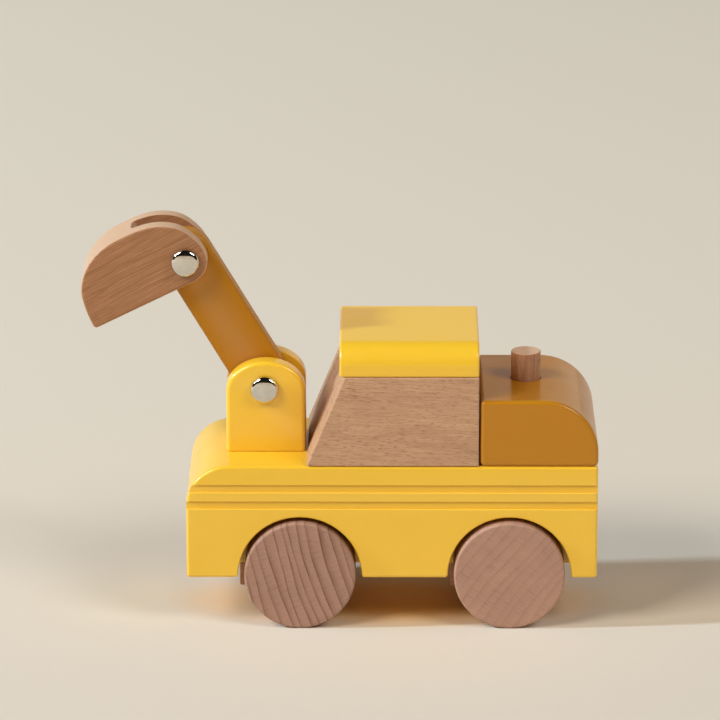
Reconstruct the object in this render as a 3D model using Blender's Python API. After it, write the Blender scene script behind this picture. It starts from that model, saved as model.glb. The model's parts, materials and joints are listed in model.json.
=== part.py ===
"""Wooden toy excavator: painted blocks on four wooden wheels, with a boom and a bucket that swing on rivets.

Metres, +Z up. The boom reaches towards -X, the engine block is at +X and the wheels stand on Z = 0.
The excavator faces -X, so its left side is at -Y. Dimensions below are in millimetres.
"""

import math

import bmesh
import bpy
from mathutils import Matrix, Vector

MM = 0.001
GAP = 0.3  # clearance between pieces that touch

# Chassis block
CHASSIS_LENGTH = 166.0
CHASSIS_WIDTH = 65.0
CHASSIS_BOTTOM = 21.0
CHASSIS_TOP = 68.5
FRONT_RADIUS = 17.0
EDGE_RADIUS = 1.4
GROOVE_HEIGHTS = (57.0, 49.9)
GROOVE_WIDTH = 2.8
GROOVE_DEPTH = 1.2

# Wheels, axles and the blocks that hold the axles in
WHEEL_RADIUS = 22.5
WHEEL_WIDTH = 18.0
WHEEL_EDGE = 1.0
WHEEL_FACE_Y = 34.5
AXLE_X = {"front": -37.2, "rear": 47.6}
AXLE_RADIUS = 4.0
AXLE_DEPTH_IN_WHEEL = 11.5
AXLE_BORE = AXLE_RADIUS + GAP
WELL_RADIUS = 25.0
WELL_DEPTH = 19.0
BLOCK_LENGTH = 46.6
BLOCK_WIDTH = 26.0
BLOCK_HEIGHT = 10.0
BLOCK_CENTRE = {"front": -38.7, "rear": 46.9}
SCREW_OFFSET = 15.0
SCREW_LENGTH = 18.0
SCREW_RADIUS = 1.5
SCREW_HEAD_RADIUS = 3.0

# Cab and roof
CAB_FRONT = -34.7
CAB_FRONT_TOP = -19.3
CAB_REAR = 34.9
CAB_TOP = 106.2
ROOF_FRONT = -21.1
ROOF_THICKNESS = 12.7
ROOF_RADIUS = 9.0

# Engine block and its exhaust peg
ENGINE_FRONT = 35.5
ENGINE_REAR = 83.0
ENGINE_TOP = 96.0
ENGINE_RADIUS = 22.0
ENGINE_EDGE = 1.5
PEG_X = 54.3
PEG_RADIUS = 6.0
PEG_TOP = 107.6
PEG_DEPTH = 12.0

# Bracket, boom and bucket
BRACKET_FRONT = -67.1
BRACKET_REAR = -35.1
BRACKET_TOP = 106.4
BRACKET_CROWN = 12.4  # height of the curved top, which is a little flatter than a half circle
BRACKET_WIDTH = 26.6
SLOT_WIDTH = 10.8
SLOT_FLOOR = 74.0
BOOM_PIVOT = (-51.5, 95.1)
BOOM_LENGTH = 61.8
BOOM_RADIUS = 10.6
BOOM_THICKNESS = 10.0
BOOM_LEAN = 30.8  # degrees forward of upright
BUCKET_WIDTH = 24.6
BUCKET_TILT = 26.25  # degrees that the bucket's straight edge falls towards its tip
BUCKET_EDGE = -9.1  # height of the straight edge below the pin
BUCKET_SLOT_END = 14.5

# Rivets
PIN_RADIUS = 2.5
HEAD_RADIUS = 5.75
HEAD_HEIGHT = 3.0

# Hidden dowels that locate the blocks
DOWEL_RADIUS = 3.0
DOWEL_LENGTH = 20.0
CAB_DOWELS = (-14.0, 24.0)
ROOF_DOWELS = (-10.0, 26.0)
ROOF_DOWEL_LENGTH = 14.0
ENGINE_DOWELS = (43.0, 72.0)
BRACKET_DOWELS = (-61.0, -43.0)
BRACKET_DOWEL_LENGTH = 15.0
BRACKET_DOWEL_Y = 9.5
BRACKET_DOWEL_RADIUS = 2.0

# Shift that puts the whole object's box on the origin
CENTRE_SHIFT = 21.13

SEGMENTS = 40
SIDES = {"left": -1, "right": 1}

# The bucket's curved outline, from the heel over the back to the tip, along and above its straight edge
BUCKET_CURVE = (
    (0.0, -9.1),
    (-5.0, -7.4),
    (-8.1, -3.6),
    (-8.9, 1.4),
    (-7.7, 6.8),
    (-4.3, 13.0),
    (1.2, 17.3),
    (8.2, 19.8),
    (17.2, 20.5),
    (26.6, 19.8),
    (34.8, 16.6),
    (40.6, 11.6),
    (43.8, 6.2),
    (45.2, -0.6),
    (45.6, -7.6),
)


def material(name, colour, roughness, metallic=0.0):
    made = bpy.data.materials.new(name)
    made.use_nodes = True
    shader = made.node_tree.nodes["Principled BSDF"]
    shader.inputs["Base Color"].default_value = (*colour, 1.0)
    shader.inputs["Roughness"].default_value = roughness
    shader.inputs["Metallic"].default_value = metallic
    made.diffuse_color = (*colour, 1.0)
    return made


def arc(centre, radius, start, end, steps):
    """Points on an arc in the side view, angles in degrees."""
    points = []
    for step in range(steps + 1):
        angle = math.radians(start + (end - start) * step / steps)
        points.append((centre[0] + radius * math.cos(angle), centre[1] + radius * math.sin(angle)))
    return points


def smooth_curve(points, steps):
    """A curve through the points, as a Catmull-Rom spline."""
    padded = [points[0], *points, points[-1]]
    curve = []
    for before, start, end, after in zip(padded, padded[1:], padded[2:], padded[3:]):
        for step in range(steps):
            t = step / steps
            curve.append(
                tuple(
                    0.5
                    * (
                        2 * b
                        + (c - a) * t
                        + (2 * a - 5 * b + 4 * c - d) * t**2
                        + (3 * b - a - 3 * c + d) * t**3
                    )
                    for a, b, c, d in zip(before, start, end, after)
                )
            )
    return [*curve, points[-1]]


def slab(outline, thickness):
    """The outline, drawn in the side view, made into a board of this thickness centred on Y = 0."""
    mesh = bmesh.new()
    corners = [mesh.verts.new((x * MM, -thickness / 2 * MM, z * MM)) for x, z in outline]
    face = mesh.faces.new(corners)
    pushed = bmesh.ops.extrude_face_region(mesh, geom=[face])
    moved = [item for item in pushed["geom"] if isinstance(item, bmesh.types.BMVert)]
    bmesh.ops.translate(mesh, verts=moved, vec=(0, thickness * MM, 0))
    bmesh.ops.recalc_face_normals(mesh, faces=mesh.faces)
    return mesh


def box(low, high):
    mesh = bmesh.new()
    bmesh.ops.create_cube(mesh, size=1.0)
    size = [(b - a) * MM for a, b in zip(low, high)]
    centre = [(a + b) / 2 * MM for a, b in zip(low, high)]
    bmesh.ops.scale(mesh, verts=mesh.verts, vec=size)
    bmesh.ops.translate(mesh, verts=mesh.verts, vec=centre)
    return mesh


def turned(profile, segments=SEGMENTS):
    """A solid turned about Z from (radius, height) points that start and end on the axis."""
    mesh = bmesh.new()
    points = [mesh.verts.new((radius * MM, 0, height * MM)) for radius, height in profile]
    edges = [mesh.edges.new(pair) for pair in zip(points, points[1:])]
    bmesh.ops.spin(
        mesh,
        geom=points + edges,
        cent=(0, 0, 0),
        axis=(0, 0, 1),
        angle=math.tau,
        steps=segments,
        use_merge=True,
    )
    bmesh.ops.remove_doubles(mesh, verts=mesh.verts, dist=0.00001)
    bmesh.ops.recalc_face_normals(mesh, faces=mesh.faces)
    return mesh


def rod(radius, low, high, chamfer=0.0, segments=SEGMENTS):
    """A round bar along Z."""
    if not chamfer:
        return turned([(0, low), (radius, low), (radius, high), (0, high)], segments)
    inner = radius - chamfer
    return turned(
        [(0, low), (inner, low), (radius, low + chamfer), (radius, high - chamfer), (inner, high), (0, high)],
        segments,
    )


def along_y(mesh, turn=0.0):
    """Lays a turned solid along +Y, after a turn about its own axis in degrees."""
    tilt = Matrix.Rotation(math.radians(-90), 3, "X") @ Matrix.Rotation(math.radians(turn), 3, "Z")
    bmesh.ops.rotate(mesh, verts=mesh.verts, cent=(0, 0, 0), matrix=tilt)
    return mesh


def shifted(mesh, x=0.0, y=0.0, z=0.0):
    bmesh.ops.translate(mesh, verts=mesh.verts, vec=(x * MM, y * MM, z * MM))
    return mesh


def combined(meshes):
    """Several separate shapes in one mesh, for one cutter."""
    whole = bmesh.new()
    for mesh in meshes:
        data = bpy.data.meshes.new("shape")
        mesh.to_mesh(data)
        mesh.free()
        whole.from_mesh(data)
        bpy.data.meshes.remove(data)
    return whole


def add(name, mesh, finish=None, parent=None, x=0.0, y=0.0, z=0.0):
    """A named object made of the mesh, placed under its parent in millimetres."""
    data = bpy.data.meshes.new(name)
    mesh.to_mesh(data)
    mesh.free()
    data.shade_smooth()
    data.set_sharp_from_angle(angle=math.radians(35))
    made = bpy.data.objects.new(name, data)
    bpy.context.scene.collection.objects.link(made)
    if finish:
        data.materials.append(finish)
    made.parent = parent
    made.location = Vector((x, y, z)) * MM
    return made


def round_edges(target, radius, segments=2):
    bevel = target.modifiers.new("rounded_edges", "BEVEL")
    bevel.width = radius * MM
    bevel.segments = segments
    bevel.limit_method = "ANGLE"
    bevel.angle_limit = math.radians(35)
    return target


def cut(target, shapes, name):
    """Takes the shapes, drawn in the target's own frame, out of it."""
    tool = add(f"{target.name}_{name}_cutter", combined(shapes), parent=target)
    tool.hide_render = True
    tool.display_type = "WIRE"
    boolean = target.modifiers.new(name, "BOOLEAN")
    boolean.operation = "DIFFERENCE"
    boolean.solver = "EXACT"
    boolean.object = tool
    return target


def dowel_holes(places, bottom, top, radius=DOWEL_RADIUS, y=0.0):
    return [shifted(rod(radius + GAP, bottom, top, segments=20), x=x, y=y) for x in places]


def make_chassis(frame, paint):
    half = CHASSIS_LENGTH / 2
    corner = (-half + FRONT_RADIUS, CHASSIS_TOP - FRONT_RADIUS)
    outline = [(-half, CHASSIS_BOTTOM), (half, CHASSIS_BOTTOM), (half, CHASSIS_TOP)]
    outline += arc(corner, FRONT_RADIUS, 90, 180, 10)
    chassis = round_edges(add("chassis", slab(outline, CHASSIS_WIDTH), paint, frame), EDGE_RADIUS)

    side = CHASSIS_WIDTH / 2
    wells = []
    grooves = []
    for sign in SIDES.values():
        middle = sign * (side + WELL_DEPTH) / 2
        for x in AXLE_X.values():
            reach = (side + WELL_DEPTH) / 2 - side + WELL_DEPTH
            well = along_y(rod(WELL_RADIUS, -reach, reach, segments=48), turn=3.75)
            wells.append(shifted(well, x=x, y=middle, z=CHASSIS_BOTTOM))
        for height in GROOVE_HEIGHTS:
            inner, outer = sorted((sign * (side - GROOVE_DEPTH), sign * (side + 1)))
            grooves.append(box((-half - 1, inner, height), (half + 1, outer, height + GROOVE_WIDTH)))
    cut(chassis, wells, "wheel_wells")
    cut(chassis, grooves, "side_grooves")

    channel = [(-AXLE_BORE, CHASSIS_BOTTOM - 5), (AXLE_BORE, CHASSIS_BOTTOM - 5)]
    channel += arc((0, WHEEL_RADIUS), AXLE_BORE, 0, 180, 14)
    cut(chassis, [shifted(slab(channel, CHASSIS_WIDTH), x=x) for x in AXLE_X.values()], "axle_channels")

    screw_holes = []
    for end in AXLE_X:
        for sign in (-1, 1):
            hole = rod(SCREW_RADIUS + GAP, CHASSIS_BOTTOM - 1, CHASSIS_BOTTOM + 10, segments=16)
            screw_holes.append(shifted(hole, x=BLOCK_CENTRE[end] + sign * SCREW_OFFSET))
    cut(chassis, screw_holes, "screw_holes")

    depth = CHASSIS_TOP - DOWEL_LENGTH / 2 - GAP
    holes = dowel_holes((*CAB_DOWELS, *ENGINE_DOWELS), depth, CHASSIS_TOP + 1)
    depth = CHASSIS_TOP - BRACKET_DOWEL_LENGTH / 2 - GAP
    for sign in SIDES.values():
        y = sign * BRACKET_DOWEL_Y
        holes += dowel_holes(BRACKET_DOWELS, depth, CHASSIS_TOP + 1, BRACKET_DOWEL_RADIUS, y)
    cut(chassis, holes, "dowel_holes")
    return chassis


def make_cab(frame, wood):
    bottom = CHASSIS_TOP + GAP
    top = CAB_TOP - GAP
    outline = [(CAB_FRONT, bottom), (CAB_REAR, bottom), (CAB_REAR, top), (CAB_FRONT_TOP, top)]
    cab = round_edges(add("cab", slab(outline, CHASSIS_WIDTH), wood, frame), 0.6, 1)
    depth = DOWEL_LENGTH / 2 + GAP
    cut(cab, dowel_holes(CAB_DOWELS, bottom - 1, CHASSIS_TOP + depth), "chassis_dowel_holes")
    depth = ROOF_DOWEL_LENGTH / 2 + GAP
    cut(cab, dowel_holes(ROOF_DOWELS, CAB_TOP - depth, top + 1), "roof_dowel_holes")


def make_roof(frame, paint):
    """A board drawn across its width, then turned so that it runs along X."""
    side = CHASSIS_WIDTH / 2
    top = CAB_TOP + ROOF_THICKNESS
    outline = [(-side, CAB_TOP), (side, CAB_TOP)]
    outline += arc((side - ROOF_RADIUS, top - ROOF_RADIUS), ROOF_RADIUS, 0, 90, 6)
    outline += arc((-side + ROOF_RADIUS, top - ROOF_RADIUS), ROOF_RADIUS, 90, 180, 6)
    board = slab(outline, CAB_REAR - ROOF_FRONT)
    turn = Matrix.Rotation(math.radians(90), 3, "Z")
    bmesh.ops.rotate(board, verts=board.verts, cent=(0, 0, 0), matrix=turn)
    shifted(board, x=(ROOF_FRONT + CAB_REAR) / 2)
    roof = round_edges(add("roof", board, paint, frame), EDGE_RADIUS)
    depth = ROOF_DOWEL_LENGTH / 2 + GAP
    cut(roof, dowel_holes(ROOF_DOWELS, CAB_TOP - 1, CAB_TOP + depth), "dowel_holes")


def make_engine(frame, paint, wood):
    bottom = CHASSIS_TOP + GAP
    outline = [(ENGINE_FRONT, bottom), (ENGINE_REAR, bottom)]
    centre = (ENGINE_REAR - ENGINE_RADIUS, ENGINE_TOP - ENGINE_RADIUS)
    outline += arc(centre, ENGINE_RADIUS, 0, 90, 12)
    outline += [(ENGINE_FRONT, ENGINE_TOP)]
    engine = round_edges(add("engine_block", slab(outline, CHASSIS_WIDTH), paint, frame), ENGINE_EDGE)
    hole = shifted(rod(PEG_RADIUS + GAP, ENGINE_TOP - PEG_DEPTH - GAP, ENGINE_TOP + 1), x=PEG_X)
    cut(engine, [hole], "peg_hole")
    depth = DOWEL_LENGTH / 2 + GAP
    cut(engine, dowel_holes(ENGINE_DOWELS, bottom - 1, CHASSIS_TOP + depth), "dowel_holes")
    add("exhaust_peg", rod(PEG_RADIUS, ENGINE_TOP - PEG_DEPTH, PEG_TOP, 0.5), wood, frame, x=PEG_X)


def make_bracket(frame, paint):
    bottom = CHASSIS_TOP + GAP
    radius = (BRACKET_REAR - BRACKET_FRONT) / 2
    crown = arc((0, 0), radius, 0, 180, 24)
    outline = [(BRACKET_FRONT, bottom), (BRACKET_REAR, bottom)]
    for x, z in crown:
        rise = z * BRACKET_CROWN / radius
        outline.append((BRACKET_FRONT + radius + x, BRACKET_TOP - BRACKET_CROWN + rise))
    bracket = round_edges(add("boom_bracket", slab(outline, BRACKET_WIDTH), paint, frame), 0.9)
    half = SLOT_WIDTH / 2
    slot = box((BRACKET_FRONT - 1, -half, SLOT_FLOOR), (BRACKET_REAR + 1, half, BRACKET_TOP + 1))
    cut(bracket, [slot], "boom_slot")
    bore = along_y(rod(PIN_RADIUS + GAP, -BRACKET_WIDTH, BRACKET_WIDTH, segments=24))
    cut(bracket, [shifted(bore, x=BOOM_PIVOT[0], z=BOOM_PIVOT[1])], "pin_bore")
    top = CHASSIS_TOP + BRACKET_DOWEL_LENGTH / 2 + GAP
    holes = []
    for sign in SIDES.values():
        y = sign * BRACKET_DOWEL_Y
        holes += dowel_holes(BRACKET_DOWELS, bottom - 1, top, BRACKET_DOWEL_RADIUS, y)
    cut(bracket, holes, "dowel_holes")


def make_boom(pivot, paint):
    """The boom, drawn upright from its lower pin and leaned by its pivot."""
    outline = arc((0, 0), BOOM_RADIUS, 180, 360, 14)
    outline += arc((0, BOOM_LENGTH), BOOM_RADIUS, 0, 180, 14)
    boom = round_edges(add("boom", slab(outline, BOOM_THICKNESS), paint, pivot), 1.0)
    bores = []
    for height in (0, BOOM_LENGTH):
        bore = along_y(rod(PIN_RADIUS + GAP, -BOOM_THICKNESS, BOOM_THICKNESS, segments=24))
        bores.append(shifted(bore, z=height))
    cut(boom, bores, "pin_bores")


def make_bucket(pivot, wood):
    """The bucket, drawn with its straight edge level and its tip at -X, and tilted by its pivot."""
    curve = smooth_curve(BUCKET_CURVE, 3)
    tip = BUCKET_CURVE[-1][0]
    outline = [(-along, up) for along, up in [*curve, (tip - 1.3, BUCKET_EDGE)]]
    bucket = round_edges(add("bucket", slab(outline, BUCKET_WIDTH), wood, pivot), 0.6, 1)
    half = SLOT_WIDTH / 2
    cut(bucket, [box((-BUCKET_SLOT_END, -half, -30), (30, half, 40))], "boom_slot")
    bore = along_y(rod(PIN_RADIUS + GAP, -BUCKET_WIDTH, BUCKET_WIDTH, segments=24))
    cut(bucket, [bore], "pin_bore")


def make_rivet(name, parent, width, steel):
    """A pin with a domed head on the left and a domed cap pressed on its right end."""
    face = width / 2 + GAP
    dome = [(HEAD_RADIUS, 0.6)]
    dome_radius = (HEAD_RADIUS**2 + (HEAD_HEIGHT - 0.6) ** 2) / (2 * (HEAD_HEIGHT - 0.6))
    for step in range(1, 7):
        radius = HEAD_RADIUS * (1 - step / 6)
        drop = dome_radius - math.sqrt(dome_radius**2 - radius**2)
        dome.append((radius, HEAD_HEIGHT - drop))
    end = 1.5
    pin = [(0, -face - end), (PIN_RADIUS, -face - end), (PIN_RADIUS, face), (HEAD_RADIUS, face)]
    pin += [(radius, face + height) for radius, height in dome]
    bore = PIN_RADIUS + GAP
    cap = [(0, end + GAP), (bore, end + GAP), (bore, 0), (HEAD_RADIUS, 0), *dome]
    head = along_y(turned(pin, 28))
    bmesh.ops.rotate(head, verts=head.verts, cent=(0, 0, 0), matrix=Matrix.Rotation(math.pi, 3, "Z"))
    add(name, head, steel, parent)
    add(f"{name}_cap", along_y(turned(cap, 28)), steel, parent, y=face)


def make_wheels(frame, wood, dowel_wood):
    inner = WHEEL_FACE_Y - WHEEL_WIDTH
    edge = WHEEL_RADIUS - WHEEL_EDGE
    bore_end = AXLE_DEPTH_IN_WHEEL + GAP
    profile = [
        (0, bore_end),
        (AXLE_BORE, bore_end),
        (AXLE_BORE, 0),
        (edge, 0),
        (WHEEL_RADIUS, WHEEL_EDGE),
        (WHEEL_RADIUS, WHEEL_WIDTH - WHEEL_EDGE),
        (edge, WHEEL_WIDTH),
        (0, WHEEL_WIDTH),
    ]
    reach = inner + AXLE_DEPTH_IN_WHEEL
    for end, x in AXLE_X.items():
        turning = add_pivot(f"{end}_wheels_axis", frame, x, WHEEL_RADIUS)
        add(f"{end}_axle", along_y(rod(AXLE_RADIUS, -reach, reach, 0.5, 32)), dowel_wood, turning)
        for side, sign in SIDES.items():
            wheel = along_y(turned(profile, 64))
            if sign < 0:
                half_turn = Matrix.Rotation(math.pi, 3, "Z")
                bmesh.ops.rotate(wheel, verts=wheel.verts, cent=(0, 0, 0), matrix=half_turn)
            add(f"{end}_{side}_wheel", wheel, wood, turning, y=sign * inner)


def make_axle_blocks(frame, wood, steel):
    top = CHASSIS_BOTTOM - GAP
    bottom = CHASSIS_BOTTOM - BLOCK_HEIGHT
    head_depth = SCREW_HEAD_RADIUS - SCREW_RADIUS
    screw = [(0, 0), (SCREW_HEAD_RADIUS, 0), (SCREW_HEAD_RADIUS, 0.3), (SCREW_RADIUS, 0.3 + head_depth)]
    screw += [(SCREW_RADIUS, SCREW_LENGTH - 2.5), (0.3, SCREW_LENGTH), (0, SCREW_LENGTH)]
    sink = SCREW_HEAD_RADIUS + GAP
    hole = SCREW_RADIUS + GAP
    countersink = [(0, -1), (sink, -1), (sink, 0.5), (hole, 0.5 + head_depth), (hole, 15), (0, 15)]
    for end, x in AXLE_X.items():
        centre = BLOCK_CENTRE[end]
        half = BLOCK_LENGTH / 2
        width = BLOCK_WIDTH / 2
        shape = box((centre - half, -width, bottom), (centre + half, width, top))
        block = round_edges(add(f"{end}_axle_block", shape, wood, frame), 0.6, 1)
        channel = along_y(rod(AXLE_BORE, -CHASSIS_WIDTH, CHASSIS_WIDTH, segments=32), turn=5.6)
        cut(block, [shifted(channel, x=x, z=WHEEL_RADIUS)], "axle_channel")
        places = [centre - SCREW_OFFSET, centre + SCREW_OFFSET]
        cut(block, [shifted(turned(countersink, 20), x=p, z=bottom) for p in places], "screw_holes")
        for place, x_screw in zip(("outer", "inner") if end == "front" else ("inner", "outer"), places):
            screw_mesh = turned(screw, 20)
            add(f"{end}_block_{place}_screw", screw_mesh, steel, frame, x=x_screw, z=bottom + 0.2)


def make_dowels(frame, wood):
    kinds = {
        "cab": (CAB_DOWELS, CHASSIS_TOP, DOWEL_LENGTH),
        "roof": (ROOF_DOWELS, CAB_TOP, ROOF_DOWEL_LENGTH),
        "engine": (ENGINE_DOWELS, CHASSIS_TOP, DOWEL_LENGTH),
    }
    for kind, (places, joint, length) in kinds.items():
        for place, x in zip(("front", "rear"), places):
            dowel = rod(DOWEL_RADIUS, -length / 2, length / 2, 0.5, 20)
            add(f"{kind}_{place}_dowel", dowel, wood, frame, x=x, z=joint)
    for side, sign in SIDES.items():
        for place, x in zip(("front", "rear"), BRACKET_DOWELS):
            half = BRACKET_DOWEL_LENGTH / 2
            dowel = rod(BRACKET_DOWEL_RADIUS, -half, half, 0.4, 16)
            name = f"bracket_{place}_{side}_dowel"
            add(name, dowel, wood, frame, x=x, y=sign * BRACKET_DOWEL_Y, z=CHASSIS_TOP)


def add_pivot(name, parent, x=0.0, z=0.0, tilt=0.0):
    """An empty on a joint's axis, tilted about +Y in degrees."""
    pivot = bpy.data.objects.new(name, None)
    bpy.context.scene.collection.objects.link(pivot)
    pivot.parent = parent
    pivot.location = (x * MM, 0, z * MM)
    pivot.rotation_euler = (0, math.radians(tilt), 0)
    return pivot


def main():
    for old in list(bpy.data.objects):
        bpy.data.objects.remove(old, do_unlink=True)
    yellow = material("yellow_paint", (0.80, 0.47, 0.045), 0.35)
    ochre = material("ochre_paint", (0.46, 0.20, 0.022), 0.35)
    beech = material("beech", (0.52, 0.29, 0.16), 0.6)
    wheel_beech = material("wheel_beech", (0.40, 0.22, 0.12), 0.65)
    dowel_beech = material("dowel_beech", (0.48, 0.26, 0.14), 0.7)
    steel = material("polished_steel", (0.80, 0.79, 0.76), 0.12, 1.0)

    frame = add_pivot("excavator", None, x=CENTRE_SHIFT)
    make_chassis(frame, yellow)
    make_cab(frame, beech)
    make_roof(frame, yellow)
    make_engine(frame, ochre, beech)
    make_bracket(frame, yellow)
    make_dowels(frame, dowel_beech)
    make_wheels(frame, wheel_beech, dowel_beech)
    make_axle_blocks(frame, dowel_beech, steel)

    boom_pivot = add_pivot("boom_pivot", frame, *BOOM_PIVOT, tilt=-BOOM_LEAN)
    make_boom(boom_pivot, ochre)
    fixed_pin = add_pivot("boom_pin_place", frame, *BOOM_PIVOT)
    make_rivet("boom_pin", fixed_pin, BRACKET_WIDTH, steel)
    bucket_pivot = add_pivot("bucket_pivot", boom_pivot, 0, BOOM_LENGTH, tilt=BOOM_LEAN - BUCKET_TILT)
    make_bucket(bucket_pivot, beech)
    make_rivet("bucket_pin", bucket_pivot, BUCKET_WIDTH, steel)


main()
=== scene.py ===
"""Looks of the wooden toy excavator: fine meshes, painted and bare beech, and soft studio light.

Outlines are in millimetres and are turned to metres when a mesh is made. The excavator faces -X and its left
side is at -Y. Places come from the CAD frame; the constants below are the details that its boxes don't give.
"""

import json
import math

import bmesh
import bpy
from mathutils import Matrix, Vector


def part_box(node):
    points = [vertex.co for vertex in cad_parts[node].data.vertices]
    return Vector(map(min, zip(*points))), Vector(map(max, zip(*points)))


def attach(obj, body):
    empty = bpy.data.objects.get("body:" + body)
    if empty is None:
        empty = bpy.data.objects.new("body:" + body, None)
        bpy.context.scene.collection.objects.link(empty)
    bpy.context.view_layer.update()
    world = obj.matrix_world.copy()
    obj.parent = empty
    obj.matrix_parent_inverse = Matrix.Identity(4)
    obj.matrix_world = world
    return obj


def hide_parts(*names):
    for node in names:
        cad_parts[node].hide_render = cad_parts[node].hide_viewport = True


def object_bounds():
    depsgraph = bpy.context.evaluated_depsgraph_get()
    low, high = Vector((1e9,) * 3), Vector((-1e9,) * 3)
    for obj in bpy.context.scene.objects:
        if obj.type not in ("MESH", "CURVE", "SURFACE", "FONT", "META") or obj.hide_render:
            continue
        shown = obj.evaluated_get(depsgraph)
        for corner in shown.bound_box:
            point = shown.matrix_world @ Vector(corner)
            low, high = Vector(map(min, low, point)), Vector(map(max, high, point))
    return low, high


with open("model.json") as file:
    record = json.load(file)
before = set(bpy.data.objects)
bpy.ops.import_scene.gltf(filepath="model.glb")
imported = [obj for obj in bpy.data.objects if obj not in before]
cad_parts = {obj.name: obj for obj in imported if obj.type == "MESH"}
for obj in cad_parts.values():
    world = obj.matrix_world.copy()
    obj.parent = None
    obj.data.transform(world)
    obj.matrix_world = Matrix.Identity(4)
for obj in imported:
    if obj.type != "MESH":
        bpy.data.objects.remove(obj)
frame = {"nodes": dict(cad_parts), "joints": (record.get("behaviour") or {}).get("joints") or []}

MM = 0.001
cad_low, cad_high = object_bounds()

# Chassis
FRONT_RADIUS = 17.0
BODY_CORNER = 1.5
BODY_EDGE = 1.3
GROOVES = (57.4, 50.4)
GROOVE_WIDTH = 3.0
GROOVE_DEPTH = 0.85
GROOVE_EASE = 0.3
WELL_RADIUS = 25.0
WELL_DEPTH = 19.0
WELL_RISE = 0.7
WELL_LIP = 0.7
CLEARANCE = 0.3
SEAM = 0.28  # of the clearance that a glued joint closes

# Blocks. EDGE is the rounding of a block's ends; the corners of its outline have to be rounder than that,
# or the mesh has points that coincide
CAB_FRONT_TOP = 15.4  # how far the cab's front leans back
CAB_CORNER = 0.7
WOOD_EDGE = 0.6
ROOF_RADIUS = 9.0
ROOF_CORNER = 1.0
ROOF_EDGE = 0.95
ENGINE_RADIUS = 22.0
ENGINE_FOOT = 2.0
ENGINE_CORNER = 1.6
ENGINE_EDGE = 1.5
BRACKET_CROWN = 12.4
SLOT_WIDTH = 10.8
BRACKET_SLOT_FLOOR = 74.0
BOOM_RADIUS = 10.6
BOOM_LENGTH = 61.8
BOOM_LEAN = 30.8
BOOM_EDGE = 1.8
BUCKET_TILT = 26.25
BUCKET_SLOT_END = 14.5
BUCKET_SLOT_CORNER = 2.5
BRACKET_EDGE = 1.7
BUCKET_ROUND = 1.1

# Rivets, screws, wheels and axle blocks
PIN_RADIUS = 2.5
WHEEL_EDGE = 1.05
RIVET_RIM = 1.7
RIVET_RIM_HEIGHT = 0.9
RIVET_DOME = 22.0
CAP_DEPTH = 1.5  # how far a rivet's shank stands in its cap
SHARP_EDGE = 0.15
SCREW_POINT = 2.5
AXLE_BLOCK_FOOT = 0.8
AXLE_BLOCK_TOP = 0.7
AXLE_BLOCK_EDGE = 0.5

# The bucket's outline from the heel round the back to the tip: along its straight edge and above it, both
# from the pin
BUCKET_CURVE = (
    (-5.0, -7.4),
    (-8.1, -3.6),
    (-8.9, 1.4),
    (-7.7, 6.8),
    (-4.3, 13.0),
    (1.2, 17.25),
    (8.2, 19.75),
    (17.2, 20.5),
    (26.6, 19.8),
    (34.8, 16.6),
    (40.6, 11.6),
    (43.8, 6.2),
    (45.2, -0.6),
    (45.5, -6.0),
)
BUCKET_HEEL = (0.0, -9.1)
BUCKET_TIP = (45.5, -9.1)
BUCKET_TIP_RADIUS = 1.6

CAMERA_PLACE = (16.8, -2017, 727.5)
CAMERA_AIM = (8.146, 20.772)  # right of and above the excavator's middle, as the camera sees it


# ---------------------------------------------------------------- outlines


def span(node):
    """Lowest and highest corner of a CAD node, in millimetres."""
    low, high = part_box(node)
    return low / MM, high / MM


def arc(centre, radius, start, end, steps):
    """Points on an arc, angles in degrees."""
    points = []
    for step in range(steps + 1):
        angle = math.radians(start + (end - start) * step / steps)
        points.append(Vector((centre[0] + radius * math.cos(angle), centre[1] + radius * math.sin(angle))))
    return points


def rounded(corners):
    """A closed outline through the corners (across, up, radius), with an arc in place of each."""
    outline = []
    for before, here, after in zip(corners[-1:] + corners[:-1], corners, corners[1:] + corners[:1]):
        point = Vector(here[:2])
        back = (Vector(before[:2]) - point).normalized()
        ahead = (Vector(after[:2]) - point).normalized()
        half = back.angle(ahead) / 2
        centre = point + (back + ahead).normalized() * here[2] / math.sin(half)
        start = point + back * here[2] / math.tan(half) - centre
        sweep = (math.pi - 2 * half) * (1 if ahead.cross(back) > 0 else -1)
        steps = max(6, round(here[2] * abs(sweep) / 0.8))
        for step in range(steps + 1):
            outline.append(centre + Matrix.Rotation(sweep * step / steps, 2) @ start)
    return outline


def rectangle(left, right, bottom, top):
    return [Vector(corner) for corner in ((left, bottom), (right, bottom), (right, top), (left, top))]


def smooth_curve(points, steps):
    """A curve through the points, as a Catmull-Rom spline."""
    padded = [Vector(p) for p in (points[0], *points, points[-1])]
    curve = []
    for a, b, c, d in zip(padded, padded[1:], padded[2:], padded[3:]):
        for step in range(steps):
            t = step / steps
            square = (2 * a - 5 * b + 4 * c - d) * t**2
            cube = (3 * b - a - 3 * c + d) * t**3
            curve.append((2 * b + (c - a) * t + square + cube) / 2)
    return [*curve, padded[-1]]


def inset(outline, depth):
    """The outline moved inwards by the depth, or outwards if it is negative."""
    turning = sum(a.cross(b) for a, b in zip(outline, outline[1:] + outline[:1]))
    side = math.copysign(1, turning)
    moved = []
    for before, here, after in zip(outline[-1:] + outline[:-1], outline, outline[1:] + outline[:1]):
        first = (here - before).normalized()
        second = (after - here).normalized()
        outward = Vector((first.y + second.y, -first.x - second.x)) * side / (1 + first.dot(second))
        moved.append(here - outward * depth)
    return moved


# ---------------------------------------------------------------- meshes


def add(name, mesh):
    data = bpy.data.meshes.new(name)
    mesh.to_mesh(data)
    mesh.free()
    made = bpy.data.objects.new(name, data)
    bpy.context.scene.collection.objects.link(made)
    return made


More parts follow.
